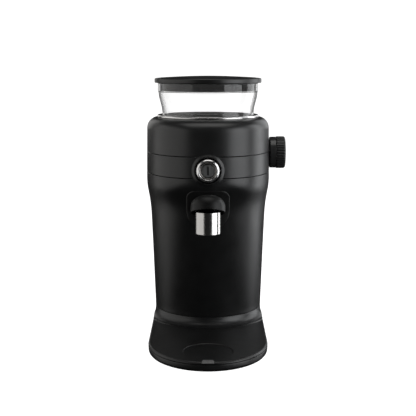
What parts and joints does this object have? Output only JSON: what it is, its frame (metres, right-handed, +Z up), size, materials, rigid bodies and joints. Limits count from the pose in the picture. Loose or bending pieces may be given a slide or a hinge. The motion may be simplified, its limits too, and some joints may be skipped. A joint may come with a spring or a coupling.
{
  "type": "burr coffee grinder",
  "caption": "Upright conical burr coffee grinder with a lidded clear hopper, a side grind knob, a front power button and a short spout over a flat cup tray.",
  "frame": {"origin": "middle of the footprint, on the surface that the feet stand on", "axes": "+Z up, the front with the power button and spout faces -Y, the grind knob is on +X"},
  "size_m": [0.1656, 0.2514, 0.3092],
  "materials": {
    "shell_black": "satin black moulding with a soft broad reflection",
    "trim_black": "fine matt black moulding",
    "rubber_black": "matt",
    "tab_grey": "satin mid grey",
    "clear_plastic": "clear and polished",
    "chrome_trim": "polished",
    "dark_metal": "dark anodised, brushed face",
    "cast_alloy": "as cast",
    "steel": "machined",
    "brass": "machined",
    "nylon": "natural nylon",
    "board_green": "lacquered board"
  },
  "bodies": {
    "housing": {"main_housing": "shell_black", "middle_band": "shell_black", "top_shell": "shell_black", "base": "shell_black", "bottom_cover": "trim_black", "foot_front_left": "rubber_black", "foot_front_right": "rubber_black", "foot_rear_left": "rubber_black", "foot_rear_right": "rubber_black", "cover_screw_1": "steel", "cover_screw_2": "steel", "cover_screw_3": "steel", "cover_screw_4": "steel", "chute_cover": "trim_black", "spout_hood": "trim_black", "spout_tube": "chrome_trim", "chute": "trim_black", "button_bezel": "chrome_trim", "button_collar": "dark_metal", "button_spring": "steel", "button_switch": "trim_black", "hopper_ring": "chrome_trim", "feed_funnel": "trim_black", "knob_bush": "brass", "grind_chamber": "cast_alloy", "idler_pin": "steel", "upper_bearing": "steel", "lower_bearing": "steel", "motor_body": "steel", "gear_case": "cast_alloy", "gear_cover": "cast_alloy", "control_board": "board_green", "cord_gland": "rubber_black"},
    "tray": {"tray_plate": "shell_black", "tray_tab": "tab_grey"},
    "button": {"power_button": "dark_metal"},
    "lock_ring": {"hopper_lock_ring": "nylon"},
    "hopper": {"hopper": "clear_plastic", "hopper_throat": "clear_plastic", "finger_guard": "trim_black"},
    "lid": {"hopper_lid": "trim_black", "lid_seal": "rubber_black"},
    "knob": {"knob_core": "trim_black", "knob_grip": "trim_black", "knob_shaft": "steel", "knob_pinion": "brass"},
    "adjuster": {"adjust_ring": "brass"},
    "carrier": {"burr_carrier": "cast_alloy", "ring_burr": "steel"},
    "burr_drive": {"drive_shaft": "steel", "output_gear": "steel", "grounds_paddle": "nylon", "cone_burr": "steel", "burr_nut": "steel"},
    "idler": {"idler_gear": "nylon"},
    "motor_rotor": {"motor_shaft": "steel", "motor_pinion": "brass"}
  },
  "joints": [
    {"name": "tray_lift", "type": "slide", "parent": "housing", "child": "tray", "axis": [0, 0, 1], "range_m": [0, 0.03]},
    {"name": "button_press", "type": "slide", "parent": "housing", "child": "button", "axis": [0, 1, 0], "range_m": [0, 0.0018], "stiffness_N_per_m": 500, "springref_m": -0.001, "deforming": ["button_spring"]},
    {"name": "hopper_twist", "type": "hinge", "parent": "housing", "child": "lock_ring", "pos_m": [-0.00965, 0.04385, 0.25475], "axis": [0, 0, 1], "range_deg": [-40, 0]},
    {"name": "hopper_lift", "type": "slide", "parent": "lock_ring", "child": "hopper", "axis": [0, 0, 1], "range_m": [0, 0.06]},
    {"name": "lid_lift", "type": "slide", "parent": "hopper", "child": "lid", "axis": [0, 0, 1], "range_m": [0, 0.04]},
    {"name": "knob_turn", "type": "hinge", "parent": "housing", "child": "knob", "pos_m": [0.07395, 0.04385, 0.2182], "axis": [1, 0, 0], "range_deg": [-150, 150]},
    {"name": "adjuster_turn", "type": "hinge", "parent": "housing", "child": "adjuster", "pos_m": [-0.00965, 0.04385, 0.208], "axis": [0, 0, 1], "range_deg": [-30, 30]},
    {"name": "burr_lift", "type": "slide", "parent": "housing", "child": "carrier", "axis": [0, 0, 1], "range_m": [-0.0002, 0.0002]},
    {"name": "burr_spin", "type": "hinge", "parent": "housing", "child": "burr_drive", "pos_m": [-0.00965, 0.04385, 0.17], "axis": [0, 0, 1], "continuous": true},
    {"name": "idler_spin", "type": "hinge", "parent": "housing", "child": "idler", "pos_m": [0.01489, 0.0611, 0.14], "axis": [0, 0, 1], "continuous": true},
    {"name": "motor_spin", "type": "hinge", "parent": "housing", "child": "motor_rotor", "pos_m": [-0.00965, 0.06585, 0.13], "axis": [0, 0, 1], "continuous": true}
  ],
  "couplings": [
    {"joint": "adjuster_turn", "follows": "knob_turn", "ratio": 0.2},
    {"joint": "burr_lift", "follows": "knob_turn", "m_per_rad": 0.000076},
    {"joint": "idler_spin", "follows": "burr_spin", "ratio": -3},
    {"joint": "motor_spin", "follows": "burr_spin", "ratio": 9}
  ]
}
